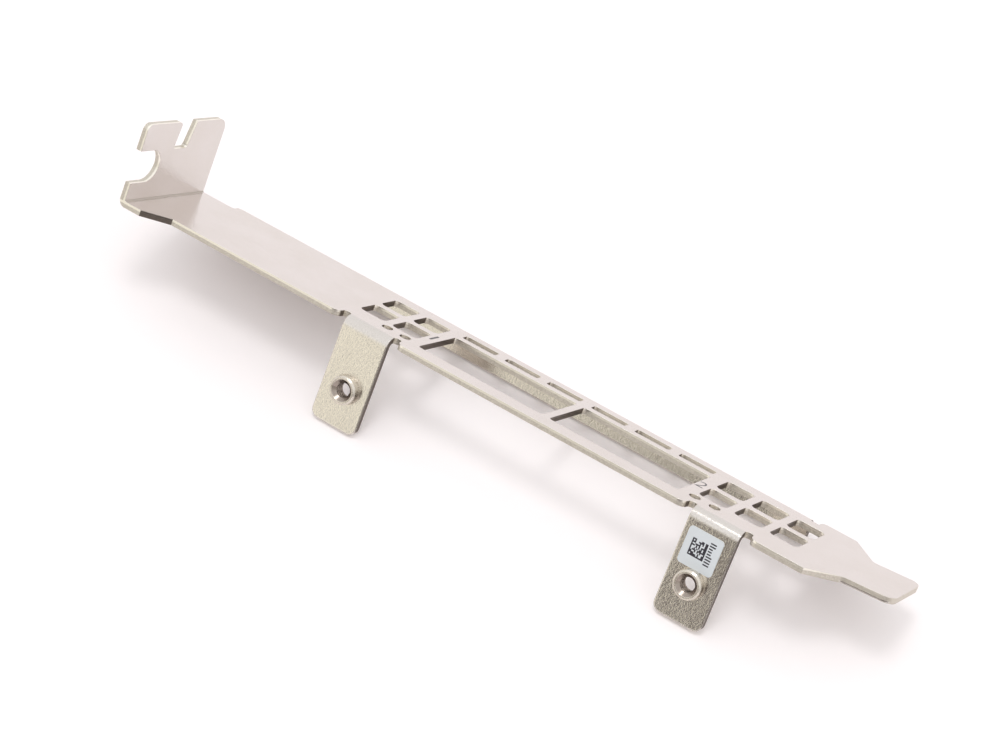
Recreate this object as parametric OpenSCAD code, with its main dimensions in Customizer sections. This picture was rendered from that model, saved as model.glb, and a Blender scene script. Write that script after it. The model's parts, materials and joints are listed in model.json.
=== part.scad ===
// Cover bracket of an expansion card: one folded steel sheet with two pressed-in
// standoffs and a small square label.
//
// X runs along the bracket from the outer face of its screw tab, Y across it from
// the edge that carries the two ears, and Z out of the outer face of the plate.
// The origin is where the chassis screw's axis leaves the tab's outer face.

/* [Sheet] */
// Thickness of the steel sheet
sheet = 0.86; // [0.7:0.01:1.1]
// Inside radius of the folds of the tab and the flange
fold_r = 0.25; // [0.1:0.05:0.6]
// Inside radius of the folds of the ears
ear_fold_r = 0.55; // [0.2:0.05:0.8]

/* [Plate] */
// Length from the tab's outer face to the tip of the tongue
overall_l = 119.7; // [118:0.1:124]
// Width of the plate
plate_w = 18.42; // [17.8:0.02:19.2]
// Length from the tab's outer face to the shoulders before the tongue
shoulder_x = 108.64; // [107.5:0.02:110]

/* [Tongue] */
// Width of the tongue
tongue_w = 10.19; // [8:0.01:12]
// Angle by which the tongue rises from the plate
tongue_rise = 4; // [1:0.5:8]
// Radius of the tongue's two tip corners
tongue_tip_r = 1.5; // [0.5:0.1:3]
// Radius of the inside corners at the tongue's root
tongue_root_r = 1; // [0.3:0.1:2]

/* [Screw tab] */
// Height of the tab above the plate's outer face
tab_h = 11.43; // [10.6:0.01:13]
// Width of the tab
tab_w = 19.05; // [18.5:0.01:19.3]
// Distance by which the tab stands out past the edge with the ears
tab_over = 2.97; // [2.7:0.01:3.3]
// Radius of the tab's top corner on the side of the ears
tab_near_r = 1; // [0.3:0.1:1.5]
// Radius of the tab's top corner on the side of the flange
tab_far_r = 1.7; // [0.3:0.1:3]
// Length of the plate that has the full width of the tab
neck_l = 3.75; // [2:0.05:5]
// Length from the tab's outer face to the end of the slant after the neck
neck_end = 7.25; // [6:0.05:10]
// Length of the narrowed stretch before the flange begins
step_x = 6.5; // [5:0.05:8]
// Radius of the inside corner where the narrowed stretch ends
step_r = 0.5; // [0.1:0.05:1]

/* [Screw slot] */
// Width of the slot for the chassis screw
slot_w = 4.81; // [4.4:0.01:5.2]
// Height of the screw's axis above the plate's outer face
screw_z = 5.075; // [4.9:0.005:5.4]
// Distance of the slot's round end centre from the edge with the ears
screw_y = 0.1; // [-0.5:0.05:0.6]

/* [Guide notch] */
// Distance of the notch's floor from the edge with the ears
notch_y = 4.75; // [4.4:0.05:6]
// Width of the notch at its floor
notch_floor_w = 3.15; // [2.5:0.05:4]
// Width of the notch at the tab's top edge
notch_mouth_w = 3.5; // [3.2:0.05:4.5]
// Distance by which the notch leans away from the ears over its depth
notch_lean = 0.4; // [0:0.05:0.8]
// Depth of the notch from the tab's top edge
notch_d = 4.0; // [3:0.05:4.5]
// Radius of the two corners at the notch's floor
notch_floor_r = 0.4; // [0.1:0.05:0.8]
// Radius of the corner at the notch's mouth on the side of the screw slot
notch_lip_r = 0.7; // [0.2:0.05:1.2]

/* [Flange] */
// Depth of the flange below the plate's outer face
flange_h = 3.6; // [2.5:0.05:6]
// Start of the flange along the plate
flange_x1 = 6.9; // [6.8:0.05:9]
// End of the flange along the plate
flange_x2 = 102.3; // [100:0.05:103.5]
// Radius of the flange's two lower corners
flange_corner_r = 0.6; // [0.2:0.1:1.2]
// Width of the relief cut at the end of the flange
flange_relief_w = 1.2; // [0.8:0.05:2]
// Depth of the relief cut past the start of the fold
flange_relief_d = 0.3; // [0.1:0.05:0.8]
// Radius of the plate's corner after the relief cut
flange_relief_r = 0.9; // [0.3:0.05:1.2]

/* [Ears] */
// Distance of the first ear's middle from the tab's outer face
ear_1_x = 40.84; // [38:0.02:43]
// Distance of the second ear's middle from the tab's outer face
ear_2_x = 95.97; // [94:0.02:97.5]
// Width of an ear
ear_w = 7.28; // [6.6:0.02:8]
// Depth of the first ear below the plate's outer face
ear_1_h = 14.85; // [13.5:0.05:18]
// Depth of the second ear below the plate's outer face
ear_2_h = 14.75; // [13.5:0.05:18]
// Radius of an ear's two lower corners
ear_corner_r = 1.2; // [0.5:0.1:2]
// Width of the relief cuts on both sides of an ear
relief_w = 1.15; // [0.8:0.05:1.5]
// Depth of the relief cuts past the start of the ear's fold
relief_d = 0.35; // [0.1:0.05:0.8]
// Radius of the plate's corners beside the relief cuts
relief_r = 1.15; // [0.5:0.05:1.2]

/* [Connector windows] */
// Distance of the first window from the tab's outer face
window_x = 47.42; // [47:0.02:48]
// Length of a window along the plate
window_l = 20.05; // [19:0.05:20.5]
// Width of a window across the plate
window_w = 10.38; // [9.5:0.02:10.8]
// Distance of a window from the edge with the ears
window_y = 2.9; // [2.6:0.02:3.2]
// Width of the strut between the two windows
strut_w = 1.14; // [0.8:0.02:2]
// Radius of a window's corners
window_r = 0.5; // [0.2:0.05:1]

/* [Air slots] */
// Number of air slots beside each window
air_n = 3; // [2:1:3]
// Length of an air slot
air_l = 5.45; // [4:0.05:6]
// Width of an air slot
air_w = 1.5; // [1:0.05:1.8]
// Spacing of the air slots
air_pitch = 6.975; // [6.6:0.005:7.1]
// Distance of the first air slot from its window's corner, along the plate
air_inset = 0.33; // [0:0.01:0.6]
// Width of the web between a window and its air slots
air_web = 1.2; // [1:0.02:1.5]
// Radius of an air slot's corners
air_r = 0.35; // [0.1:0.05:0.45]

/* [Vents] */
// Number of vent columns before the first window
vent_n1 = 2; // [1:1:3]
// Number of vent columns after the second window
vent_n2 = 3; // [1:1:3]
// Length of a vent along the plate
vent_l = 4.15; // [3.6:0.05:4.6]
// Width of a vent across the plate
vent_w = 4.4; // [4:0.05:4.8]
// Width of the web between two columns of vents
vent_web_x = 1.17; // [0.9:0.01:1.4]
// Width of the web between the two rows of vents
vent_web_y = 1.18; // [0.9:0.01:1.4]
// Distance of the vents from the edge with the ears
vent_y = 5.12; // [4.9:0.02:5.3]
// Width of the web between the first window and the vents before it
vent_gap_1 = 1.75; // [1.4:0.01:2.2]
// Width of the web between the second window and the vents after it
vent_gap_2 = 1.93; // [1.6:0.01:2.4]
// Radius of a vent's corners
vent_r = 0.7; // [0.3:0.05:1.2]

/* [Light holes] */
// Diameter of the holes for the indicator lights
light_d = 1.6; // [1.2:0.05:1.8]
// Distance of the light holes from the edge with the ears
light_y = 3.62; // [3.3:0.02:3.7]
// Spacing of the two light holes of a pair
light_pitch = 2.95; // [2.6:0.05:3.2]
// Distance of the first pair's middle before the first window
light_gap_1 = 4.07; // [3.6:0.01:4.6]
// Distance of the second pair's middle after the second window
light_gap_2 = 3.72; // [3:0.01:4.4]

/* [Press-in standoffs] */
// Outer diameter of a standoff's barrel
barrel_d = 4.0; // [3.7:0.05:4.3]
// Length of the barrel that stands out of the ear
barrel_l = 1.2; // [0.8:0.05:2]
// Width across the flats of the standoff's flush hexagonal head
head_af = 4.8; // [4.6:0.05:5.4]
// Thickness of the head
head_t = 0.56; // [0.4:0.02:0.6]
// Diameter of the threaded hole, measured at the crests of its thread
thread_d = 2.05; // [1.8:0.01:2.3]
// Diameter of the countersink at the barrel's mouth
mouth_d = 3.1; // [2.6:0.05:3.3]
// Depth of that countersink
mouth_depth = 0.5; // [0.2:0.05:0.7]
// Width of the chamfer round the barrel's end
barrel_chamfer = 0.25; // [0.1:0.01:0.3]
// Depth of the standoffs' axes below the plate's outer face
standoff_z = 9.28; // [8.8:0.02:9.8]
// Offset of the first standoff from the middle of its ear
standoff_1_shift = 0.2; // [-0.5:0.01:0.5]
// Offset of the second standoff from the middle of its ear
standoff_2_shift = -0.05; // [-0.5:0.01:0.5]

/* [Label] */
// Length of the label across the second ear
label_l = 5.1; // [4.5:0.05:5.6]
// Height of the label
label_h = 5.2; // [4.5:0.05:5.3]
// Thickness of the label
label_t = 0.1; // [0.05:0.01:0.2]
// Offset of the label's middle from the middle of the ear
label_shift = -0.37; // [-0.6:0.01:0.6]
// Distance of the label from the plate's outer face
label_top = 2.15; // [2:0.05:2.4]
// Radius of the label's corners
label_r = 0.5; // [0.2:0.05:1]

/* [Hidden] */
$fn = 48;

// Amount by which a cutter reaches past what it cuts
past = 1;
// Outer radii of the folds
fold_outer_r = fold_r + sheet;
ear_outer_r = ear_fold_r + sheet;
// Y of the tab's far edge
tab_far_y = tab_w - tab_over;
// Edges of the tongue; its shoulders slope at 45 degrees
tongue_y = (plate_w - tongue_w) / 2;
tongue_x = shoulder_x + tongue_y;
// The three groups along the plate
window_pitch = window_l + strut_w;
windows_end = window_x + window_pitch + window_l;
vent_pitch_x = vent_l + vent_web_x;
vent_pitch_y = vent_w + vent_web_y;
vents_1_x = window_x - vent_gap_1 - vent_n1 * vent_l - (vent_n1 - 1) * vent_web_x;
vents_2_x = windows_end + vent_gap_2;
// Depth of the relief cuts from the plate's edges
ear_relief_depth = ear_outer_r + relief_d;
flange_relief_depth = fold_outer_r + flange_relief_d;
// Middles of the standoffs along X
standoff_1_x = ear_1_x + standoff_1_shift;
standoff_2_x = ear_2_x + standoff_2_shift;
// Where the chassis screw's axis leaves the tab's outer face
screw_point = [0, screw_y, screw_z];

// ---- Flat shapes ----

// Rectangle from the origin with four round corners
module round_rect(size, r) {
    translate([r, 0]) square([size.x - 2 * r, size.y]);
    translate([0, r]) square([size.x, size.y - 2 * r]);
    for (x = [r, size.x - r], y = [r, size.y - r])
        translate([x, y]) circle(r);
}

// What rounding takes off a square corner at the origin that fills the quadrant (sx, sy)
module corner_waste(r, sx, sy) {
    difference() {
        translate([sx > 0 ? 0 : -r, sy > 0 ? 0 : -r]) square(r);
        translate([sx * r, sy * r]) circle(r);
    }
}

// Slot along Y from y = 0 down to y = -depth, its inner end round
module deep_slot(w, depth) {
    translate([-w / 2, -depth + w / 2]) square([w, depth - w / 2 + past]);
    translate([0, -depth + w / 2]) circle(w / 2);
}

// ---- Plan of the plate, seen along Z ----

module tongue_plan() {
    translate([shoulder_x, tongue_y])
        round_rect([overall_l - shoulder_x, tongue_w], tongue_tip_r);
}

// Fillets in the corners between the 45 degree shoulders and the tongue
module tongue_root_plan() {
    reach = tongue_root_r * tan(22.5);
    for (side = [0, 1])
        translate([tongue_x, plate_w / 2])
            mirror([0, side])
            translate([0, -tongue_w / 2])
            difference() {
                polygon([[-reach * cos(45), -reach * sin(45)], [reach, 0],
                         [reach, past / 2], [-reach, past / 2]]);
                translate([reach, -tongue_root_r]) circle(tongue_root_r);
            }
}

module plate_plan() {
    polygon([[0, 0], [shoulder_x, 0], [tongue_x, tongue_y], [tongue_x, plate_w - tongue_y],
             [shoulder_x, plate_w], [0, plate_w]]);
    polygon([[0, -tab_over], [neck_l, -tab_over], [neck_end, 0], [neck_end, past], [0, past]]);
    tongue_plan();
    tongue_root_plan();
}

// Stretch of the plate that gives way to an ear's fold, with a relief cut on each side
module ear_gap_plan(x) {
    translate([x - ear_w / 2 - past / 2, -past]) square([ear_w + past, ear_outer_r + past]);
    for (side = [-1, 1])
        translate([x + side * (ear_w + relief_w) / 2, 0]) {
            mirror([0, 1]) deep_slot(relief_w, ear_relief_depth);
            translate([side * relief_w / 2, 0])
                corner_waste(min(relief_r, ear_relief_depth - relief_w / 2), side, 1);
        }
}

// Edge that gives way to the flange's fold, the step before it and the relief after it
module flange_gap_plan() {
    relief_r_fit = min(flange_relief_r, flange_relief_depth - past / 10);
    translate([-past, tab_far_y]) square([past + step_x - step_r, plate_w]);
    translate([step_x - step_r, tab_far_y + step_r]) square([step_r, plate_w]);
    translate([step_x - step_r, tab_far_y + step_r]) circle(step_r);
    translate([step_x - past / 10, plate_w - fold_outer_r])
        square([flange_x2 - step_x + past / 10, fold_outer_r + past]);
    translate([flange_x2, plate_w - flange_relief_depth])
        square([flange_relief_w, flange_relief_depth + past]);
    translate([flange_x2 + flange_relief_w, plate_w]) corner_waste(relief_r_fit, 1, -1);
}

module window_plan() {
    for (i = [0, 1])
        translate([window_x + i * window_pitch, window_y])
            round_rect([window_l, window_w], window_r);
}

module air_slot_plan() {
    for (i = [0, 1], j = [0 : air_n - 1])
        translate([window_x + i * window_pitch + air_inset + j * air_pitch,
                   window_y + window_w + air_web])
            round_rect([air_l, air_w], air_r);
}

// Two rows of vents, n columns long, from x on
module vent_plan(x, n) {
    for (i = [0 : n - 1], j = [0, 1])
        translate([x + i * vent_pitch_x, vent_y + j * vent_pitch_y])
            round_rect([vent_l, vent_w], vent_r);
}

module light_plan() {
    for (x = [window_x - light_gap_1, windows_end + light_gap_2], side = [-1, 1])
        translate([x + side * light_pitch / 2, light_y]) circle(d = light_d);
}

module full_plan() {
    difference() {
        plate_plan();
        ear_gap_plan(ear_1_x);
        ear_gap_plan(ear_2_x);
        flange_gap_plan();
        window_plan();
        air_slot_plan();
        vent_plan(vents_1_x, vent_n1);
        vent_plan(vents_2_x, vent_n2);
        light_plan();
    }
}

// ---- Side of the sheet, seen along Y: tab, fold, plate and raised tongue ----

// Corner of a folded sheet whose outer faces meet at the origin and run along +X and +Y
// for the lengths a and b, with the fold's inside radius r
module fold_profile(a, b, r) {
    difference() {
        union() {
            square([a, sheet]);
            square([sheet, b]);
            square(sheet + r);
        }
        translate([sheet + r, sheet + r]) circle(r);
        corner_waste(r + sheet, 1, 1);
    }
}

// The flat sheet, and the tongue that rises from it past a shallow crease
module plate_side() {
    crease_x = tongue_x + sheet * tan(tongue_rise / 2);
    tip_l = overall_l;
    polygon([[2 * fold_outer_r, -sheet], [crease_x, -sheet],
             [crease_x + tip_l * cos(tongue_rise), -sheet + tip_l * sin(tongue_rise)],
             [tongue_x + tip_l * cos(tongue_rise), tip_l * sin(tongue_rise)],
             [tongue_x, 0], [2 * fold_outer_r, 0]]);
}

module sheet_side() {
    translate([0, -sheet]) fold_profile(3 * fold_outer_r, tab_h + sheet, fold_r);
    plate_side();
}

module folded_plate() {
    intersection() {
        translate([0, 0, -sheet - past]) linear_extrude(tab_h + sheet + 2 * past) full_plan();
        translate([0, plate_w + past, 0])
            rotate([90, 0, 0])
            linear_extrude(plate_w + tab_over + 2 * past) sheet_side();
    }
}

// ---- Cuts in the tab, drawn in (Y, Z) and run along X ----

module screw_slot_cut() {
    translate([screw_y, screw_z]) circle(d = slot_w);
    translate([-tab_over - past, screw_z - slot_w / 2])
        square([tab_over + past + screw_y, slot_w]);
}

module guide_notch_cut() {
    floor_z = tab_h - notch_d;
    mouth_y = notch_y + notch_lean;
    r = notch_floor_r;
    difference() {
        polygon([[notch_y, floor_z], [notch_y + notch_floor_w, floor_z],
                 [mouth_y + notch_mouth_w, tab_h], [mouth_y + notch_mouth_w, tab_h + past],
                 [mouth_y, tab_h + past], [mouth_y, tab_h]]);
        translate([notch_y, floor_z]) corner_waste(r, 1, 1);
        translate([notch_y + notch_floor_w, floor_z]) corner_waste(r, -1, 1);
    }
    translate([mouth_y, tab_h]) corner_waste(notch_lip_r, -1, -1);
}

module tab_corner_cut() {
    translate([-tab_over, tab_h]) corner_waste(tab_near_r, 1, -1);
    translate([tab_far_y, tab_h]) corner_waste(tab_far_r, -1, -1);
}

module tab_cuts() {
    translate([-past, 0, 0])
        rotate([90, 0, 90])
        linear_extrude(sheet + 2 * past) {
            screw_slot_cut();
            guide_notch_cut();
            tab_corner_cut();
        }
}

// ---- Folded edges ----

// A leg folded down along the edge y = 0 from x on, l long, its lower corners round
module folded_leg(x, l, inner_r, h, corner_r) {
    translate([x, 0, 0])
        intersection() {
            rotate([90, 0, 90])
                linear_extrude(l)
                mirror([0, 1])
                fold_profile(inner_r + sheet, h, inner_r);
            translate([0, inner_r + sheet + past, 0])
                rotate([90, 0, 0])
                linear_extrude(inner_r + sheet + 2 * past)
                union() {
                    translate([0, -h]) round_rect([l, h], corner_r);
                    translate([0, -h / 2]) square([l, h / 2 + past]);
                }
        }
}

module flange() {
    translate([0, plate_w, 0])
        mirror([0, 1, 0])
        folded_leg(flange_x1, flange_x2 - flange_x1, fold_r, flange_h, flange_corner_r);
}

// Seat of a standoff in the ear at x: a round hole and the hexagon its head has pressed
module standoff_seat(x) {
    translate([x, -past, -standoff_z]) rotate([-90, 0, 0]) cylinder(d = barrel_d, h = sheet + past);
    translate([x, sheet - head_t, -standoff_z])
        rotate([-90, 0, 0])
        cylinder(d = head_af / cos(30), h = head_t + past, $fn = 6);
}

module ear(x, h, standoff_x) {
    difference() {
        folded_leg(x - ear_w / 2, ear_w, ear_fold_r, h, ear_corner_r);
        standoff_seat(standoff_x);
    }
}

module bracket() {
    color([0.86, 0.83, 0.81])
        translate(-screw_point)
        union() {
            difference() {
                folded_plate();
                tab_cuts();
            }
            flange();
            ear(ear_1_x, ear_1_h, standoff_1_x);
            ear(ear_2_x, ear_2_h, standoff_2_x);
        }
}

// ---- Standoffs ----

// Half section of a standoff's barrel and bore: radius against height from the ear's
// outer face, the barrel's end upwards and the head's face at -sheet
module barrel_section() {
    polygon([[thread_d / 2, -sheet], [barrel_d / 2, -sheet],
             [barrel_d / 2, barrel_l - barrel_chamfer],
             [barrel_d / 2 - barrel_chamfer, barrel_l], [mouth_d / 2, barrel_l],
             [thread_d / 2, barrel_l - mouth_depth]]);
}

module standoff() {
    rotate_extrude() barrel_section();
    translate([0, 0, -sheet])
        difference() {
            cylinder(d = head_af / cos(30), h = head_t, $fn = 6);
            translate([0, 0, -past]) cylinder(d = (thread_d + barrel_d) / 2, h = head_t + 2 * past);
        }
}

module standoffs() {
    color([0.80, 0.77, 0.72])
        translate(-screw_point)
        for (x = [standoff_1_x, standoff_2_x])
            translate([x, 0, -standoff_z]) rotate([90, 0, 0]) standoff();
}

// ---- Label on the outer face of the second ear ----

module label() {
    color([0.90, 0.93, 0.95])
        translate(-screw_point)
        translate([ear_2_x + label_shift - label_l / 2, 0, -label_top - label_h])
        rotate([90, 0, 0])
        linear_extrude(label_t) round_rect([label_l, label_h], label_r);
}

bracket();
standoffs();
label();
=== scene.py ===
"""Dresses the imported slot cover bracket: plated sheet, pressed-in standoffs, label, numerals and studio."""

import json
import logging
import math
import random
from collections.abc import Callable
from dataclasses import dataclass, field
from enum import Enum

import bpy
from mathutils import Matrix, Vector


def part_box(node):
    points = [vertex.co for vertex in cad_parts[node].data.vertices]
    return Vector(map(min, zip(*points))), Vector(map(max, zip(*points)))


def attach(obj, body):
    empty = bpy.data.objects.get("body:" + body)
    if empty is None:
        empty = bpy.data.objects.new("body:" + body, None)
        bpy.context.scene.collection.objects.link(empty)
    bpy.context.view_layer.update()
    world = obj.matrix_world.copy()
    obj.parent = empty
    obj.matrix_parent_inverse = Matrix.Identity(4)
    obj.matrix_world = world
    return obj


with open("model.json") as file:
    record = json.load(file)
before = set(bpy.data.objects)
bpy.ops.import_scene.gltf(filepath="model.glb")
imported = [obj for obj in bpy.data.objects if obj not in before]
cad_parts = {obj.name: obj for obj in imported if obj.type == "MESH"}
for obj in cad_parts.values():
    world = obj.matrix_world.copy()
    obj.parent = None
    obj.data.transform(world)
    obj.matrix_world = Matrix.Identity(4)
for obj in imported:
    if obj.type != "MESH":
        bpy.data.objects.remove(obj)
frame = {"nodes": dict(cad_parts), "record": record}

LOG = logging.getLogger("slot_cover")
MM = 0.001
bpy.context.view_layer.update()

Colour = tuple[float, float, float, float]
Pair = tuple[float, float]
Socket = bpy.types.NodeSocket


class Slot(Enum):
    """Material slots that the record names."""

    SHEET = "plated_steel"
    STANDOFF = "standoff_steel"
    LABEL = "label_film"


@dataclass(frozen=True)
class SheetFrame:
    """The sheet's own sizes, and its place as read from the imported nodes, in millimetres."""

    thickness: float = 0.86
    flange_drop: float = 3.6
    tab_height: float = 11.43
    tongue_root: float = 108.64
    tongue_rise: float = math.tan(math.radians(4.0))

    @property
    def low(self) -> Vector:
        """Lowest corner of the bracket."""
        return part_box("bracket")[0] / MM

    @property
    def high(self) -> Vector:
        """Highest corner of the bracket."""
        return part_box("bracket")[1] / MM

    @property
    def face_y(self) -> float:
        """Y of the outer face of the ears, which carries the label, taken at the label's back."""
        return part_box("label")[1].y / MM

    @property
    def plate_top(self) -> float:
        """Z of the plate's outer face."""
        return self.high.z - self.tab_height

    @property
    def lean(self) -> float:
        """Angle at which the part lies, on its ears and on the rim of its flange, in radians."""
        ear_drop = self.plate_top - self.low.z
        return math.atan2(ear_drop - self.flange_drop, self.high.y - (self.face_y + self.thickness))

    @property
    def floor_normal(self) -> Vector:
        """Unit normal of the table top that the part lies on."""
        return Vector((0.0, -math.sin(self.lean), math.cos(self.lean)))


class Tree:
    """A thin helper that adds and links shader nodes in one node tree."""

    def __init__(self, tree: bpy.types.NodeTree) -> None:
        """Keeps the tree that nodes are added to."""
        self.tree = tree

    def add(self, kind: str, **settings: object) -> bpy.types.Node:
        """Adds a node.

        Args:
            kind: the node's type name.
            settings: attributes to set on it.

        Returns:
            The new node.
        """
        node = self.tree.nodes.new(kind)
        for name, value in settings.items():
            setattr(node, name, value)
        return node

    def put(self, socket: Socket, value: object) -> None:
        """Links or sets a socket.

        Args:
            socket: the input socket.
            value: an output socket to link, or a plain value.
        """
        if isinstance(value, Socket):
            self.tree.links.new(value, socket)
        else:
            socket.default_value = value

    def math(self, operation: str, *values: object, clamp: bool = False) -> Socket:
        """Adds a Math node.

        Args:
            operation: its operation.
            values: its inputs, sockets or numbers.
            clamp: whether the result is held between 0 and 1.

        Returns:
            Its output.
        """
        node = self.add("ShaderNodeMath", operation=operation, use_clamp=clamp)
        for index, value in enumerate(values):
            self.put(node.inputs[index], value)
        return node.outputs[0]

    def plus(self, first: object, second: object) -> Socket:
        """Adds two values."""
        return self.math("ADD", first, second)

    def times(self, first: object, second: object) -> Socket:
        """Multiplies two values, which for two masks keeps where both hold."""
        return self.math("MULTIPLY", first, second)

    def either(self, first: Socket, second: Socket) -> Socket:
        """Joins two masks."""
        return self.math("MAXIMUM", first, second)

    def over(self, value: Socket, limit: float) -> Socket:
        """Masks where a value is above a limit."""
        return self.math("GREATER_THAN", value, limit)

    def under(self, value: Socket, limit: float) -> Socket:
        """Masks where a value is below a limit."""
        return self.math("LESS_THAN", value, limit)

    def dot(self, vector: Socket, axis: Vector) -> Socket:
        """Adds a dot product with a fixed axis.

        Args:
            vector: the vector output.
            axis: the axis.

        Returns:
            The product.
        """
        node = self.add("ShaderNodeVectorMath", operation="DOT_PRODUCT")
        self.put(node.inputs[0], vector)
        node.inputs[1].default_value = tuple(axis)
        return node.outputs["Value"]

    def ramp(self, value: Socket, low: float, high: float) -> Socket:
        """Maps a value from low..high to 0..1, with rounded ends.

        Args:
            value: the value output.
            low: where the result is 0.
            high: where the result is 1.

        Returns:
            The mapped value.
        """
        node = self.add("ShaderNodeMapRange", interpolation_type="SMOOTHSTEP")
        self.put(node.inputs["Value"], value)
        self.put(node.inputs["From Min"], low)
        self.put(node.inputs["From Max"], high)
        return node.outputs["Result"]

    def mix(self, share: object, first: object, second: object) -> Socket:
        """Mixes two colours.

        Args:
            share: how much of the second.
            first: the first colour.
            second: the second colour.

        Returns:
            The mixed colour.
        """
        node = self.add("ShaderNodeMix", data_type="RGBA")
        self.put(node.inputs[0], share)
        self.put(node.inputs[6], first)
        self.put(node.inputs[7], second)
        return node.outputs[2]

    def blend(self, share: object, first: object, second: object) -> Socket:
        """Mixes two numbers.

        Args:
            share: how much of the second.
            first: the first number.
            second: the second number.

        Returns:
            The mixed number.
        """
        node = self.add("ShaderNodeMix", data_type="FLOAT")
        self.put(node.inputs[0], share)
        self.put(node.inputs[2], first)
        self.put(node.inputs[3], second)
        return node.outputs[0]

    def noise(self, vector: Socket, scale: object, detail: float, rough: float) -> Socket:
        """Adds a noise.

        Args:
            vector: where it is read.
            scale: its scale.
            detail: its detail.
            rough: its roughness.

        Returns:
            Its value.
        """
        node = self.add("ShaderNodeTexNoise")
        self.put(node.inputs["Vector"], vector)
        self.put(node.inputs["Scale"], scale)
        node.inputs["Detail"].default_value = detail
        node.inputs["Roughness"].default_value = rough
        return node.outputs["Fac"]

    def group(self, group: bpy.types.NodeTree, **inputs: object) -> bpy.types.Node:
        """Places a node group.

        Args:
            group: the group.
            inputs: values or sockets by input name.

        Returns:
            The group node.
        """
        node = self.add("ShaderNodeGroup", node_tree=group)
        for name, value in inputs.items():
            self.put(node.inputs[name], value)
        return node


@dataclass(frozen=True)
class OpenGroup:
    """A node group while it is being built: its tree, with a helper, and its two end nodes."""

    group: bpy.types.NodeTree
    tree: Tree
    start: bpy.types.Node
    end: bpy.types.Node


class SharedEffects:
    """Node groups that several finishes use: coating grain and handling marks."""

    broad_grain: float = 0.31
    broad_height: float = 0.6
    sparkle: Pair = (0.38, 0.66)
    cloud_scale: float = 160.0
    cloud: Pair = (0.3, 0.7)
    scratch_scale: float = 5200.0
    scratch_turn: float = 0.5
    scratch_stretch: float = 0.06
    scratch: Pair = (0.68, 0.78)

    def __init__(self) -> None:
        """Builds each group once."""
        self.grain = self._grain()
        self.marks = self._marks()

    def _open(self, name: str, inputs: dict[str, str], outputs: tuple[str, ...]) -> OpenGroup:
        """Opens a new group.

        Args:
            name: its name.
            inputs: input names and socket kinds.
            outputs: names of the masks and heights that it puts out.

        Returns:
            The open group.
        """
        group = bpy.data.node_groups.new(name, "ShaderNodeTree")
        for label, kind in inputs.items():
            group.interface.new_socket(label, in_out="INPUT", socket_type=kind)
        for label in outputs:
            group.interface.new_socket(label, in_out="OUTPUT", socket_type="NodeSocketFloat")
        tree = Tree(group)
        return OpenGroup(group, tree, tree.add("NodeGroupInput"), tree.add("NodeGroupOutput"))

    def _grain(self) -> bpy.types.NodeTree:
        """Builds the fine pebbled grain of a plated coating.

        Returns:
            The group, which puts out a height and a sparkle mask.
        """
        inputs = {"Vector": "NodeSocketVector", "Scale": "NodeSocketFloat"}
        work = self._open("coating_grain", inputs, ("Height", "Sparkle"))
        tree, place, scale = work.tree, work.start.outputs["Vector"], work.start.outputs["Scale"]
        fine = tree.noise(place, scale, detail=2.0, rough=0.6)
        broad = tree.noise(place, tree.times(scale, self.broad_grain), detail=2.0, rough=0.5)
        tree.put(work.end.inputs["Height"], tree.plus(fine, tree.times(broad, self.broad_height)))
        tree.put(work.end.inputs["Sparkle"], tree.ramp(fine, *self.sparkle))
        return work.group

    def _marks(self) -> bpy.types.NodeTree:
        """Builds faint rubbed marks and cloudy variation.

        Returns:
            The group, which puts out a cloud mask and a mask of fine scratches.
        """
        work = self._open("handling_marks", {"Vector": "NodeSocketVector"}, ("Cloud", "Scratch"))
        tree, place = work.tree, work.start.outputs["Vector"]
        cloud = tree.noise(place, self.cloud_scale, detail=3.0, rough=0.55)
        stretch = tree.add("ShaderNodeMapping")
        stretch.inputs["Rotation"].default_value = (0.0, 0.0, self.scratch_turn)
        stretch.inputs["Scale"].default_value = (self.scratch_stretch, 1.0, 1.0)
        tree.put(stretch.inputs["Vector"], place)
        lines = tree.noise(stretch.outputs[0], self.scratch_scale, detail=1.0, rough=0.5)
        tree.put(work.end.inputs["Cloud"], tree.ramp(cloud, *self.cloud))
        tree.put(work.end.inputs["Scratch"], tree.ramp(lines, *self.scratch))
        return work.group


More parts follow.
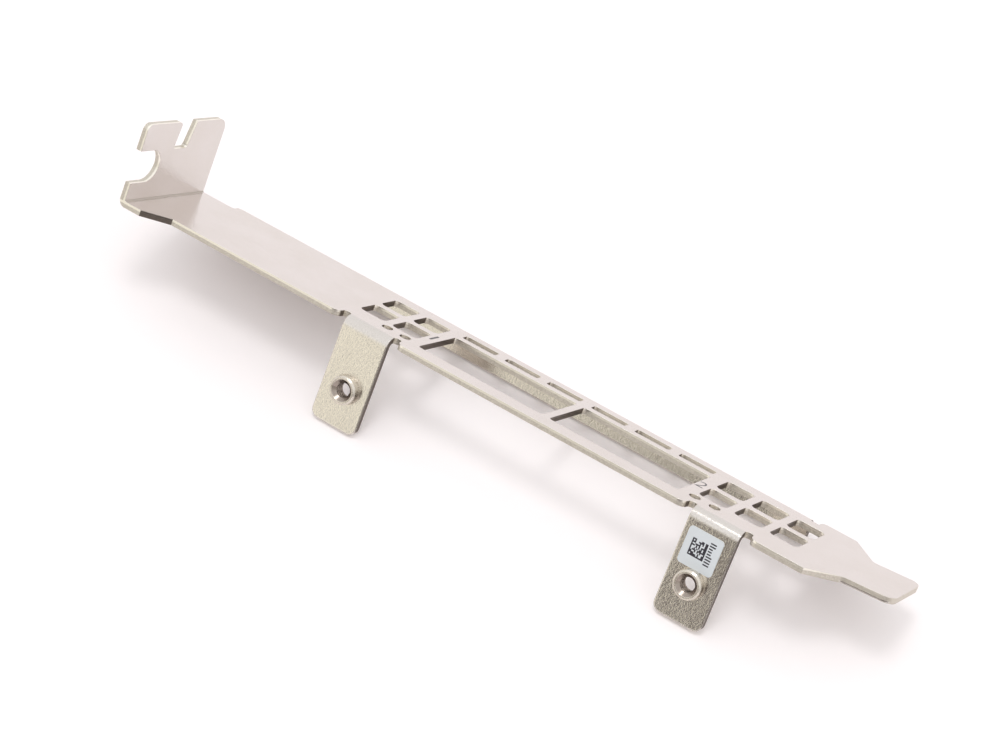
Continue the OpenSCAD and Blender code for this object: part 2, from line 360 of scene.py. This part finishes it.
class Dressing:
    """A material in the making: its tree and shader, and the place, normal and marks that it reads."""

    bevel_samples: int = 6

    def __init__(self, name: str, effects: SharedEffects) -> None:
        """Opens the material.

        Args:
            name: the material's name.
            effects: the shared node groups.
        """
        self.effects = effects
        self.material = bpy.data.materials.new(name)
        self.material.use_nodes = True
        self.tree = Tree(self.material.node_tree)
        self.shader = self.material.node_tree.nodes["Principled BSDF"]
        coords = self.tree.add("ShaderNodeTexCoord")
        self.place, self.normal = coords.outputs["Object"], coords.outputs["Normal"]
        marks = self.tree.group(effects.marks, Vector=self.place)
        self.cloud, self.scratch = marks.outputs["Cloud"], marks.outputs["Scratch"]

    def grain(self, scale: float) -> tuple[Socket, Socket]:
        """Places the coating grain.

        Args:
            scale: its scale.

        Returns:
            Its height and its sparkle mask.
        """
        node = self.tree.group(self.effects.grain, Vector=self.place, Scale=scale)
        return node.outputs["Height"], node.outputs["Sparkle"]

    def tint(self, mask: Socket, share: float, first: object, second: Colour) -> Socket:
        """Mixes some of a second colour in where a mask holds."""
        return self.tree.mix(self.tree.times(mask, share), first, second)

    def rounding(self, radius: object) -> Socket:
        """Rounds the edges in the shading.

        Args:
            radius: the radius in metres, a socket or a number.

        Returns:
            The rounded normal.
        """
        node = self.tree.add("ShaderNodeBevel", samples=self.bevel_samples)
        self.tree.put(node.inputs["Radius"], radius)
        return node.outputs[0]

    def relief(self, height: Socket, strength: float, depth: float, normal: Socket | None = None) -> None:
        """Gives the shader its bump.

        Args:
            height: the height of the relief.
            strength: how strongly it shows.
            depth: how deep it is, in millimetres.
            normal: the normal that it starts from, where it isn't the surface's own.
        """
        bump = self.tree.add("ShaderNodeBump")
        bump.inputs["Strength"].default_value = strength
        bump.inputs["Distance"].default_value = depth * MM
        self.tree.put(bump.inputs["Height"], height)
        if normal is not None:
            self.tree.put(bump.inputs["Normal"], normal)
        self.tree.put(self.shader.inputs["Normal"], bump.outputs[0])


@dataclass(frozen=True)
class SheetMasks:
    """Masks over the folded sheet, from 0 to 1."""

    cut: Socket
    """The sheet's cut edges."""
    depth: Socket
    """How far a point of a cut edge lies from the sheet's outer face."""
    dark: Socket
    # Cut edges that face +X, which get painted shade.
    """Cut edges that face +X."""
    leg: Socket
    """All that is folded down: ears and flange."""
    leg_light: Socket
    # The same, faded in below the plate: where painted light goes.
    """The same, faded in below the plate."""
    crease: Socket
    # The inside of the screw tab's fold, which gets painted shade.
    """The inside of the screw tab's fold."""


@dataclass(frozen=True)
class PlatedSheet:
    """Satin nickel-plated mild steel: smooth faces with a pebbled coating, darker cut edges; painted shade on
    the cut edges that face +X and in the tab's fold, and painted light on the ears and flange.
    """

    sheet: SheetFrame
    effects: SharedEffects
    # Colours
    face: Colour = (0.74, 0.70, 0.675, 1.0)
    face_warm: Colour = (0.66, 0.61, 0.55, 1.0)
    burnish: Colour = (0.94, 0.895, 0.81, 1.0)
    fracture: Colour = (0.60, 0.555, 0.485, 1.0)
    # Painted shade for the cut edges that face +X
    cut_painted_shade: Colour = (0.085, 0.06, 0.05, 1.0)
    # Painted shade in the inside of the tab's fold
    fold_painted_shade: Colour = (0.40, 0.36, 0.31, 1.0)
    # Painted light on the folded-down ears and flange
    leg_painted_light: Colour = (0.90, 0.855, 0.765, 1.0)
    # Where each region lies, in millimetres
    slack: float = 0.02
    tab_slack: float = 0.3
    rim_depth: float = 3.0
    crease_height: float = 0.24
    leg_fade: Pair = (2.0, 0.2)
    neck_end: float = 20.0
    tip_start: float = 118.0
    # How a region's normal lies, as parts of a unit normal
    wall_turn: float = 0.3
    side_turn: float = 0.7
    rim_turn: float = -0.5
    crease_turn: float = 0.1
    neck_turn: Pair = (0.5, 0.6)
    end_turn: Pair = (0.85, 0.97)
    # Shares of one colour in another
    cloud_share: float = 0.25
    grain_share: float = 0.35
    scratch_share: float = 0.12
    leg_share: float = 0.75
    leg_grain: float = 0.32
    crease_share: float = 0.9
    calm_fracture: float = 0.55
    cut_shade_share: float = 0.85
    # Grain, and the torn part of a cut edge
    grain_scale: float = 5000.0
    cut_scale: float = 6500.0
    mean_height: float = 0.8
    torn_wander: float = 0.25
    torn: Pair = (0.30, 0.42)
    # Roughness
    face_rough: float = 0.17
    cloud_rough: float = 0.05
    scratch_rough: float = 0.06
    cut_rough: float = 0.30
    torn_rough: float = 0.2
    # Rounded edges in millimetres, and relief
    edge_radius: float = 0.11
    leg_radius: float = 0.17
    face_height: float = 0.6
    relief_strength: float = 0.6
    relief_depth: float = 0.045

    def masks(self, tree: Tree, place: Socket, normal: Socket) -> SheetMasks:
        """Finds the cut edges and folded regions of the sheet, and the masks for painted light and shade.

        Args:
            tree: the material's tree.
            place: object coordinates in millimetres.
            normal: object normals.

        Returns:
            The masks.
        """
        at, turn = tree.add("ShaderNodeSeparateXYZ"), tree.add("ShaderNodeSeparateXYZ")
        tree.put(at.inputs[0], place)
        tree.put(turn.inputs[0], normal)
        x, y, z = at.outputs[0], at.outputs[1], at.outputs[2]
        turn_x, turn_z = turn.outputs[0], turn.outputs[2]
        along_x, along_z = tree.math("ABSOLUTE", turn_x), tree.math("ABSOLUTE", turn_z)
        top, thick = self.sheet.plate_top, self.sheet.thickness

        # The tongue rises past its root, and level follows it
        past_root = tree.math("MAXIMUM", tree.math("SUBTRACT", x, self.sheet.tongue_root), 0.0)
        level = tree.math("SUBTRACT", z, tree.times(past_root, self.sheet.tongue_rise))
        plate = tree.times(tree.over(level, top - thick - self.slack), tree.under(level, top + self.slack))
        tab = tree.times(tree.over(z, top + self.slack), tree.under(x, thick + self.tab_slack))
        leg = tree.under(level, top - thick - self.slack)

        plate_cut = tree.times(plate, tree.under(along_z, self.wall_turn))
        tab_cut = tree.times(tab, tree.under(along_x, self.wall_turn))
        side_cut = tree.times(leg, tree.over(along_x, self.side_turn))
        rim_cut = tree.times(tree.under(z, top - self.rim_depth), tree.under(turn_z, self.rim_turn))
        cut = tree.either(tree.either(plate_cut, tab_cut), tree.either(side_cut, rim_cut))

        plate_depth = tree.math("DIVIDE", tree.math("SUBTRACT", top, level), thick)
        tab_depth = tree.math("SUBTRACT", 1.0, tree.math("DIVIDE", x, thick))
        leg_depth = tree.math("DIVIDE", tree.math("SUBTRACT", y, self.sheet.face_y), thick)
        folded_depth = tree.plus(tree.times(tab, tab_depth), tree.times(leg, leg_depth))
        depth = tree.math("ADD", tree.times(plate, plate_depth), folded_depth, clamp=True)

        # The tab's fold, which gets painted shade
        near_tab = tree.times(tab, tree.under(z, top + self.crease_height))
        crease = tree.times(near_tab, tree.over(turn_z, self.crease_turn))
        # Walls facing +X, at the neck and at the window and vent ends, get painted shade
        neck = tree.times(tree.under(x, self.neck_end), tree.ramp(turn_x, *self.neck_turn))
        ends = tree.times(tree.ramp(turn_x, *self.end_turn), tree.under(x, self.tip_start))
        # Folded-down faces below the plate get painted light
        fade_low, fade_high = (top - drop for drop in self.leg_fade)
        leg_light = tree.math("SUBTRACT", 1.0, tree.ramp(level, fade_low, fade_high))
        return SheetMasks(cut, depth, tree.either(neck, ends), leg, leg_light, crease)

    def face_colour(self, work: Dressing, masks: SheetMasks, sparkle: Socket) -> Socket:
        """Colours the sheet's faces, with painted light on the ears and flange and painted shade in the tab's
        fold.

        Args:
            work: the material in the making.
            masks: the sheet's masks.
            sparkle: the sparkle of the coating.

        Returns:
            The colour.
        """
        tree = work.tree
        colour = work.tint(work.cloud, self.cloud_share, self.face, self.face_warm)
        colour = work.tint(sparkle, self.grain_share, colour, self.face_warm)
        colour = work.tint(work.scratch, self.scratch_share, colour, self.burnish)
        # Painted light: the ears and flange are made lighter and creamier, less where the coating grain
        # sparkles
        leg_light_part = tree.math("SUBTRACT", tree.times(masks.leg_light, self.leg_share),
                             tree.times(sparkle, self.leg_grain), clamp=True)
        colour = tree.mix(leg_light_part, colour, self.leg_painted_light)
        # Painted shade in the inside of the tab's fold
        return work.tint(masks.crease, self.crease_share, colour, self.fold_painted_shade)

    def cut_colour(self, work: Dressing, masks: SheetMasks, torn: Socket, chips: Socket) -> Socket:
        """Colours the cut edges, burnished by the face and torn below, with painted shade on those that face
        +X.

        Args:
            work: the material in the making.
            masks: the sheet's masks.
            torn: the mask of the torn part.
            chips: the sparkle of the torn part.

        Returns:
            The colour.
        """
        tree = work.tree
        broken = tree.mix(chips, self.fracture, self.burnish)
        broken = tree.mix(self.calm_fracture, broken, self.fracture)
        # Painted shade on the cut edges that face +X, chosen by their normal
        return work.tint(masks.dark, self.cut_shade_share, tree.mix(torn, self.burnish, broken), self.cut_painted_shade)

    def make(self) -> bpy.types.Material:
        """Builds the material.

        Returns:
            The material.
        """
        work = Dressing("plated_sheet", self.effects)
        tree, shader = work.tree, work.shader
        place = tree.add("ShaderNodeVectorMath", operation="SCALE")
        tree.put(place.inputs[0], work.place)
        place.inputs["Scale"].default_value = 1.0 / MM
        masks = self.masks(tree, place.outputs[0], work.normal)
        height, sparkle = work.grain(self.grain_scale)
        chip_height, chips = work.grain(self.cut_scale)
        wander = tree.times(tree.math("SUBTRACT", chip_height, self.mean_height), self.torn_wander)
        torn = tree.ramp(tree.plus(masks.depth, wander), *self.torn)

        face = self.face_colour(work, masks, sparkle)
        cut = self.cut_colour(work, masks, torn, chips)
        tree.put(shader.inputs["Base Color"], tree.mix(masks.cut, face, cut))
        shader.inputs["Metallic"].default_value = 1.0

        calm = tree.plus(self.face_rough, tree.times(work.cloud, self.cloud_rough))
        calm = tree.plus(calm, tree.times(work.scratch, self.scratch_rough))
        coarse = tree.plus(self.cut_rough, tree.times(torn, self.torn_rough))
        tree.put(shader.inputs["Roughness"], tree.blend(masks.cut, calm, coarse))

        radius = tree.plus(self.edge_radius * MM, tree.times(masks.leg, self.leg_radius * MM))
        relief = tree.blend(tree.times(masks.cut, torn), tree.times(height, self.face_height), chip_height)
        work.relief(relief, self.relief_strength, self.relief_depth, work.rounding(radius))
        return work.material


@dataclass(frozen=True)
class TurnedSteel:
    """Bright turned steel with fine circular tool marks about each standoff's axis, and painted shade inside
    the bore.
    """

    effects: SharedEffects
    centres: tuple[Vector, Vector]
    bright: Colour = (0.80, 0.75, 0.67, 1.0)
    shade: Colour = (0.48, 0.42, 0.36, 1.0)
    # Painted shade inside the bore
    bore_painted_shade: Colour = (0.24, 0.185, 0.16, 1.0)
    grain_scale: float = 5200.0
    ring_rate: float = 90000.0
    ring_height: float = 0.25
    # Radii in millimetres between which the painted shade inside the bore comes in
    mouth: Pair = (1.56, 1.48)
    # Shares, roughness and relief
    grain_share: float = 0.3
    cloud_share: float = 0.2
    bore_shade_share: float = 0.7
    rough: float = 0.2
    grain_rough: float = 0.12
    edge_radius: float = 0.08
    relief_strength: float = 0.3
    relief_depth: float = 0.02

    def make(self) -> bpy.types.Material:
        """Builds the material.

        Returns:
            The material.
        """
        work = Dressing("turned_steel", self.effects)
        tree, shader = work.tree, work.shader
        at = tree.add("ShaderNodeSeparateXYZ")
        tree.put(at.inputs[0], work.place)
        x, y, z = at.outputs[0], at.outputs[1], at.outputs[2]
        first, second = self.centres
        from_middle = tree.math("ABSOLUTE", tree.math("SUBTRACT", x, (first.x + second.x) / 2))
        across = tree.math("SUBTRACT", from_middle, (second.x - first.x) / 2)
        along = tree.math("SUBTRACT", z, first.z)
        radius = tree.math("SQRT", tree.plus(tree.times(across, across), tree.times(along, along)))
        rings = tree.math("SINE", tree.times(tree.plus(radius, y), self.ring_rate))
        height, sparkle = work.grain(self.grain_scale)

        outside, inside = self.mouth
        # Painted shade inside the bore, by distance from the axis
        bore_shade = tree.ramp(radius, outside * MM, inside * MM)
        tone = work.tint(sparkle, self.grain_share, self.bright, self.shade)
        tone = work.tint(work.cloud, self.cloud_share, tone, self.shade)
        tree.put(shader.inputs["Base Color"], work.tint(bore_shade, self.bore_shade_share, tone, self.bore_painted_shade))
        shader.inputs["Metallic"].default_value = 1.0
        tree.put(shader.inputs["Roughness"], tree.plus(self.rough, tree.times(sparkle, self.grain_rough)))
        relief = tree.plus(tree.times(rings, self.ring_height), height)
        work.relief(relief, self.relief_strength, self.relief_depth, work.rounding(self.edge_radius * MM))
        return work.material


@dataclass(frozen=True)
class CoatedFinish:
    """A plain coated finish with slight mottling: label film or ink."""

    name: str
    effects: SharedEffects
    base: Colour
    shade: Colour
    roughness: float
    grain_scale: float = 5000.0
    cloud_share: float = 0.5
    grain_share: float = 0.25
    grain_rough: float = 0.08
    relief_strength: float = 0.1
    relief_depth: float = 0.01

    def make(self) -> bpy.types.Material:
        """Builds the material.

        Returns:
            The material.
        """
        work = Dressing(self.name, self.effects)
        tree, shader = work.tree, work.shader
        height, sparkle = work.grain(self.grain_scale)
        tone = work.tint(work.cloud, self.cloud_share, self.base, self.shade)
        tree.put(shader.inputs["Base Color"], work.tint(sparkle, self.grain_share, tone, self.shade))
        tree.put(shader.inputs["Roughness"], tree.plus(self.roughness, tree.times(sparkle, self.grain_rough)))
        work.relief(height, self.relief_strength, self.relief_depth)
        return work.material


class Maker:
    """Ways of modelling and dressing that the pieces share."""

    @staticmethod
    def clear() -> None:
        """Deselects everything."""
        if bpy.context.object and bpy.context.object.mode != "OBJECT":
            bpy.ops.object.mode_set(mode="OBJECT")
        bpy.ops.object.select_all(action="DESELECT")

    @staticmethod
    def coat(piece: bpy.types.Object, material: bpy.types.Material) -> None:
        """Gives a piece one material."""
        piece.data.materials.clear()
        piece.data.materials.append(material)

    @staticmethod
    def dress_node(name: str, material: bpy.types.Material) -> None:
        """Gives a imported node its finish.

        Args:
            name: the node's name.
            material: its finish.
        """
        Maker.coat(frame["nodes"][name], material)
        LOG.info("%s: packed solid dressed", name)

    @staticmethod
    def keep_place(piece: bpy.types.Object) -> None:
        """Applies a piece's place, turn and size to its mesh.

        Args:
            piece: the piece.
        """
        Maker.clear()
        piece.select_set(True)
        bpy.context.view_layer.objects.active = piece
        bpy.ops.object.transform_apply(location=True, rotation=True, scale=True)

    @staticmethod
    def finish(piece: bpy.types.Object, name: str, material: bpy.types.Material, slot: Slot) -> None:
        """Names, dresses and mounts a new piece.

        Args:
            piece: the piece.
            name: its name.
            material: its material.
            slot: the record's slot; not used.
        """
        piece.name = name
        Maker.coat(piece, material)
        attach(piece, "root")
        LOG.info("%s: %d faces", name, len(piece.data.polygons))


@dataclass
class Bracket:
    """The folded sheet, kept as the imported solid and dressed."""

    finish: PlatedSheet

    def dress(self) -> None:
        """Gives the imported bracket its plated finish."""
        Maker.dress_node("bracket", self.finish.make())


@dataclass
class Standoffs:
    """The two threaded standoffs pressed into the ears, with their screw threads, in millimetres."""

    effects: SharedEffects
    bore_radius: float = 1.025
    pitch: float = 0.45
    ridge: float = 0.10
    ridge_offset: float = 0.03
    thread_start: float = 0.55
    turns: int = 3
    steps: int = 32
    merge: float = 0.001
    centres: list[Vector] = field(default_factory=list)

    def find(self) -> None:
        """Reads the standoffs' axes from their solids and from the record's bolt pattern."""
        screws = next(m for m in frame["record"]["mounts"] if m["name"] == "card_screws")
        half_spacing = screws["dims"]["spacing_x_mm"] * MM / 2
        low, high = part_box("standoffs")
        middle = (low.x + high.x) / 2
        height = low.z + (high.z - low.z) / 2
        self.centres = [Vector((middle + side * half_spacing, low.y, height)) for side in (-1, 1)]

    def thread(self, index: int, centre: Vector, material: bpy.types.Material) -> None:
        """Winds one screw thread inside a bore.

        Args:
            index: the number of the standoff.
            centre: the bore's axis at its mouth.
            material: the steel.
        """
        Maker.clear()
        start = (centre.x, centre.y + self.thread_start * MM, centre.z)
        bpy.ops.mesh.primitive_circle_add(vertices=3, radius=self.ridge * MM, fill_type="NGON",
                                          location=start)
        piece = bpy.context.object
        bpy.ops.object.mode_set(mode="EDIT")
        bpy.ops.mesh.select_all(action="SELECT")
        bpy.ops.mesh.delete(type="ONLY_FACE")
        bpy.ops.mesh.select_all(action="SELECT")
        bpy.ops.transform.translate(value=((self.bore_radius + self.ridge_offset) * MM, 0.0, 0.0))
        bpy.ops.object.mode_set(mode="OBJECT")
        wind = piece.modifiers.new("wind", "SCREW")
        wind.axis = "Y"
        wind.angle = 2 * math.pi
        wind.screw_offset = self.pitch * MM
        wind.iterations = self.turns
        wind.steps = wind.render_steps = self.steps
        wind.use_normal_calculate = True
        bpy.ops.object.modifier_apply(modifier=wind.name)
        bpy.ops.object.mode_set(mode="EDIT")
        bpy.ops.mesh.select_all(action="SELECT")
        bpy.ops.mesh.remove_doubles(threshold=self.merge * MM)
        bpy.ops.mesh.fill_holes(sides=3)
        bpy.ops.mesh.normals_make_consistent(inside=False)
        bpy.ops.object.mode_set(mode="OBJECT")
        Maker.keep_place(piece)
        Maker.finish(piece, f"thread_{index}", material, Slot.STANDOFF)

    def build(self) -> None:
        """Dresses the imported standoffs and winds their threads."""
        self.find()
        steel = TurnedSteel(self.effects, tuple(self.centres)).make()
        Maker.dress_node("standoffs", steel)
        for index, centre in enumerate(self.centres, 1):
            self.thread(index, centre, steel)


@dataclass(frozen=True)
class PrintArea:
    """One field of print on the label, in millimetres from the label's middle."""

    name: str
    offset: Pair
    size: Pair
    counts: tuple[int, int]


@dataclass
class CardLabel:
    """The small film label on the second ear, with a made-up block mark and short bars."""

    effects: SharedEffects
    film_base: Colour = (0.74, 0.78, 0.81, 1.0)
    film_shade: Colour = (0.68, 0.72, 0.76, 1.0)
    film_rough: float = 0.42
    ink_base: Colour = (0.020, 0.017, 0.028, 1.0)
    ink_shade: Colour = (0.05, 0.045, 0.06, 1.0)
    ink_rough: float = 0.5
    ink_height: float = 0.006
    cells: int = 12
    cell_odds: float = 0.52
    bar_count: int = 9
    bar_widths: tuple[int, int, int] = (2, 3, 3)
    seed: int = 7

    def patch(self, area: PrintArea, keep: Callable[[int, int], bool], ink: bpy.types.Material) -> None:
        """Prints a grid of small raised fields and keeps some of them.

        Args:
            area: where the grid lies and how many fields it has.
            keep: says from column and row whether a field is printed.
            ink: the ink.
        """
        Maker.clear()
        columns, rows = area.counts
        bpy.ops.mesh.primitive_grid_add(x_subdivisions=columns, y_subdivisions=rows, size=1.0)
        piece = bpy.context.object
        bpy.ops.object.mode_set(mode="EDIT")
        bpy.ops.mesh.select_mode(type="FACE")
        bpy.ops.mesh.select_all(action="DESELECT")
        bpy.ops.object.mode_set(mode="OBJECT")
        for face in piece.data.polygons:
            column = int((face.center.x + 0.5) * columns)
            row = int((face.center.y + 0.5) * rows)
            face.select = not keep(column, row)
        bpy.ops.object.mode_set(mode="EDIT")
        bpy.ops.mesh.delete(type="FACE")
        bpy.ops.mesh.select_all(action="SELECT")
        rise = (0.0, 0.0, self.ink_height * MM)
        bpy.ops.mesh.extrude_region_move(TRANSFORM_OT_translate={"value": rise})
        bpy.ops.mesh.select_mode(type="VERT")
        bpy.ops.object.mode_set(mode="OBJECT")
        low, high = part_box("label")
        middle = (low + high) / 2
        piece.scale = (area.size[0] * MM, area.size[1] * MM, 1.0)
        piece.rotation_euler = (math.pi / 2, 0.0, 0.0)
        piece.location = (middle.x + area.offset[0] * MM, low.y, middle.z + area.offset[1] * MM)
        Maker.keep_place(piece)
        Maker.finish(piece, area.name, ink, Slot.LABEL)

    def build(self) -> None:
        """Dresses the film and prints it."""
        film = CoatedFinish("label_film", self.effects, self.film_base, self.film_shade, self.film_rough)
        ink = CoatedFinish("label_ink", self.effects, self.ink_base, self.ink_shade, self.ink_rough).make()
        Maker.dress_node("label", film.make())
        rng = random.Random(self.seed)
        cells, last = range(self.cells), self.cells - 1
        dark = {(c, r): rng.random() < self.cell_odds for c in cells for r in cells}
        widths = [rng.choice(self.bar_widths) for _ in range(self.bar_count)]
        mark = PrintArea("label_mark", offset=(-0.45, 0.1), size=(2.3, 2.4), counts=(self.cells, self.cells))
        bars = PrintArea("label_bars", offset=(1.3, 0.15), size=(0.85, 3.2),
                         counts=(max(self.bar_widths), 2 * self.bar_count - 1))
        self.patch(mark, lambda c, r: c == last or r == 0 or (c == 0 and r % 2 == 0) or dark[(c, r)], ink)
        self.patch(bars, lambda c, r: r % 2 == 0 and c < widths[r // 2], ink)


@dataclass(frozen=True)
class Numeral:
    """One number, with its middle on the plate and its greatest width, in millimetres."""

    text: str
    x: float
    y: float
    width: float


@dataclass
class PortNumerals:
    """Plain numbers beside the two connector windows."""

    effects: SharedEffects
    sheet: SheetFrame
    height: float = 2.4
    ink_height: float = 0.004
    thinner: float = -0.012
    most_stretch: float = 1.3
    ink_base: Colour = (0.055, 0.05, 0.055, 1.0)
    ink_shade: Colour = (0.14, 0.13, 0.13, 1.0)
    ink_rough: float = 0.45
    numbers: tuple[Numeral, Numeral] = (Numeral("1", 46.43, 8.75, 0.95), Numeral("2", 89.4, 8.7, 1.2))

    def mark(self, number: Numeral, ink: bpy.types.Material) -> None:
        """Marks one number on the plate.

        Args:
            number: the number.
            ink: the ink.
        """
        Maker.clear()
        bpy.ops.object.text_add()
        letter = bpy.context.object
        letter.data.body = number.text
        letter.data.extrude = self.ink_height
        letter.data.offset = self.thinner
        bpy.ops.object.convert(target="MESH")
        piece = bpy.context.object
        xs = [v.co.x for v in piece.data.vertices]
        ys = [v.co.y for v in piece.data.vertices]
        scale_y = self.height * MM / (max(ys) - min(ys))
        scale_x = min(number.width * MM / (max(xs) - min(xs)), self.most_stretch * scale_y)
        piece.scale = (scale_x, scale_y, MM)
        piece.location = (number.x * MM - (max(xs) + min(xs)) / 2 * scale_x,
                          number.y * MM - (max(ys) + min(ys)) / 2 * scale_y,
                          self.sheet.plate_top * MM)
        Maker.keep_place(piece)
        Maker.finish(piece, f"numeral_{number.text}", ink, Slot.SHEET)

    def build(self) -> None:
        """Marks both numbers."""
        ink = CoatedFinish("plate_ink", self.effects, self.ink_base, self.ink_shade, self.ink_rough).make()
        for number in self.numbers:
            self.mark(number, ink)


@dataclass
class Studio:
    """A pale table top, a white tent open at the front, a soft lamp overhead and the camera."""

    sheet: SheetFrame
    # Camera: degrees and millimetres
    target: tuple[float, float, float] = (57.48, 8.52, -5.11)
    azimuth: float = 23.296
    elevation: float = 18.093
    roll: float = -21.110
    distance: float = 376.86
    lens: float = 101.88
    sensor: float = 36.0
    # Nearest and farthest that the camera sees, in metres
    clip: Pair = (0.01, 20.0)
    # Table top: metres across, its foot and gap in millimetres, its colour and its glow to the camera
    table_size: float = 3.0
    table_x: float = 60.0
    table_gap: float = 0.02
    paper: Colour = (0.97, 0.925, 0.935, 1.0)
    glow: float = 0.07
    # Tent: its opening in degrees from the front and as a share of the way up, and its two tints
    opening_left: Pair = (-21.0, -18.5)
    opening_right: Pair = (45.0, 70.0)
    opening_top: Pair = (0.30, 0.68)
    warm_front: Pair = (0.2, 0.7)
    white: Colour = (1.0, 1.0, 1.0, 1.0)
    warm: Colour = (1.0, 0.965, 0.86, 1.0)
    dark: Colour = (0.10, 0.08, 0.075, 1.0)
    # Lamp: metres and watts
    lamp_x: float = 0.045
    lamp_height: float = 0.9
    lamp_size: float = 0.30
    lamp_power: float = 1.3

    def camera(self) -> None:
        """Places the camera."""
        azimuth, elevation, roll = (math.radians(v) for v in (self.azimuth, self.elevation, self.roll))
        back = Vector((math.sin(azimuth) * math.cos(elevation),
                       -math.cos(azimuth) * math.cos(elevation),
                       math.sin(elevation)))
        upright = (Vector((0, 0, 1)) - back * back.z).normalized()
        level = upright.cross(back)
        up = upright * math.cos(roll) + level * math.sin(roll)
        right = up.cross(back)
        data = bpy.data.cameras.new("camera")
        data.lens, data.sensor_width = self.lens, self.sensor
        data.clip_start, data.clip_end = self.clip
        camera = bpy.data.objects.new("camera", data)
        bpy.context.scene.collection.objects.link(camera)
        turn = Matrix((right, up, back)).transposed().to_4x4()
        place = (Vector(self.target) + back * self.distance) * MM
        camera.matrix_world = Matrix.Translation(place) @ turn
        bpy.context.scene.camera = camera

    def table(self) -> None:
        """Lays the table top under the ears and the flange's rim."""
        sheet = self.sheet
        foot = Vector((self.table_x, sheet.face_y + sheet.thickness, sheet.low.z))
        foot -= sheet.floor_normal * self.table_gap
        Maker.clear()
        bpy.ops.mesh.primitive_plane_add(size=self.table_size, location=foot * MM,
                                         rotation=(sheet.lean, 0.0, 0.0))
        floor = bpy.context.object
        floor.name = "table_top"
        floor.data.materials.append(self.table_finish())

    def table_finish(self) -> bpy.types.Material:
        """Builds the table top's pale paper, which is clear from beneath.

        Returns:
            The material.
        """
        material = bpy.data.materials.new("table_top")
        material.use_nodes = True
        tree = Tree(material.node_tree)
        nodes = material.node_tree.nodes
        nodes.remove(nodes["Principled BSDF"])
        paper = tree.add("ShaderNodeBsdfDiffuse")
        paper.inputs["Color"].default_value = self.paper
        glow = tree.add("ShaderNodeEmission")
        seen = tree.add("ShaderNodeLightPath").outputs["Is Camera Ray"]
        tree.put(glow.inputs["Strength"], tree.times(seen, self.glow))
        lit = tree.add("ShaderNodeAddShader")
        tree.put(lit.inputs[0], paper.outputs[0])
        tree.put(lit.inputs[1], glow.outputs[0])
        clear = tree.add("ShaderNodeBsdfTransparent")
        side = tree.add("ShaderNodeNewGeometry")
        mixer = tree.add("ShaderNodeMixShader")
        tree.put(mixer.inputs[0], side.outputs["Backfacing"])
        tree.put(mixer.inputs[1], lit.outputs[0])
        tree.put(mixer.inputs[2], clear.outputs[0])
        tree.put(nodes["Material Output"].inputs["Surface"], mixer.outputs[0])
        return material

    def tent(self) -> None:
        """Sets the white surroundings, with the darker opening low at the front."""
        world = bpy.data.worlds.new("tent")
        bpy.context.scene.world = world
        world.use_nodes = True
        tree = Tree(world.node_tree)
        backdrop = world.node_tree.nodes["Background"]
        toward = tree.add("ShaderNodeTexCoord").outputs["Generated"]
        lean = self.sheet.lean
        up = tree.dot(toward, self.sheet.floor_normal)
        front = tree.dot(toward, Vector((0.0, -math.cos(lean), -math.sin(lean))))
        side = tree.dot(toward, Vector((1.0, 0.0, 0.0)))
        azimuth = tree.math("ARCTAN2", side, front)
        low = tree.math("SUBTRACT", 1.0, tree.ramp(up, *self.opening_top))
        past_left = tree.ramp(azimuth, *(math.radians(v) for v in self.opening_left))
        past_right = tree.ramp(azimuth, *(math.radians(v) for v in self.opening_right))
        span = tree.times(past_left, tree.math("SUBTRACT", 1.0, past_right))
        seen = tree.add("ShaderNodeLightPath").outputs["Is Camera Ray"]
        hidden = tree.math("SUBTRACT", 1.0, seen)
        opening = tree.times(tree.times(low, span), hidden)
        warmth = tree.times(tree.times(low, tree.ramp(front, *self.warm_front)), hidden)
        tint = tree.mix(warmth, self.white, self.warm)
        tree.put(backdrop.inputs["Color"], tree.mix(opening, tint, self.dark))
        backdrop.inputs["Strength"].default_value = 1.0

    def lamp(self) -> None:
        """Hangs the soft lamp over the table."""
        normal = self.sheet.floor_normal
        data = bpy.data.lights.new("softbox", "AREA")
        data.shape, data.size, data.energy = "DISK", self.lamp_size, self.lamp_power
        lamp = bpy.data.objects.new("softbox", data)
        bpy.context.scene.collection.objects.link(lamp)
        lamp.location = Vector((self.lamp_x, 0.0, 0.0)) + normal * self.lamp_height
        lamp.rotation_mode = "QUATERNION"
        lamp.rotation_quaternion = normal.to_track_quat("Z", "Y")

    def build(self) -> None:
        """Sets up camera, table, tent and lamp."""
        bpy.context.scene.view_settings.view_transform = "Standard"
        self.camera()
        self.table()
        self.tent()
        self.lamp()
        LOG.info("studio built, part lying at %.1f degrees", math.degrees(self.sheet.lean))


def main() -> None:
    """Builds every sub-assembly in order."""
    logging.basicConfig(level=logging.INFO, format="%(name)s: %(message)s")
    sheet, effects = SheetFrame(), SharedEffects()
    Studio(sheet).build()
    Bracket(PlatedSheet(sheet, effects)).dress()
    Standoffs(effects).build()
    CardLabel(effects).build()
    PortNumerals(effects, sheet).build()


if __name__ == "__main__":
    main()
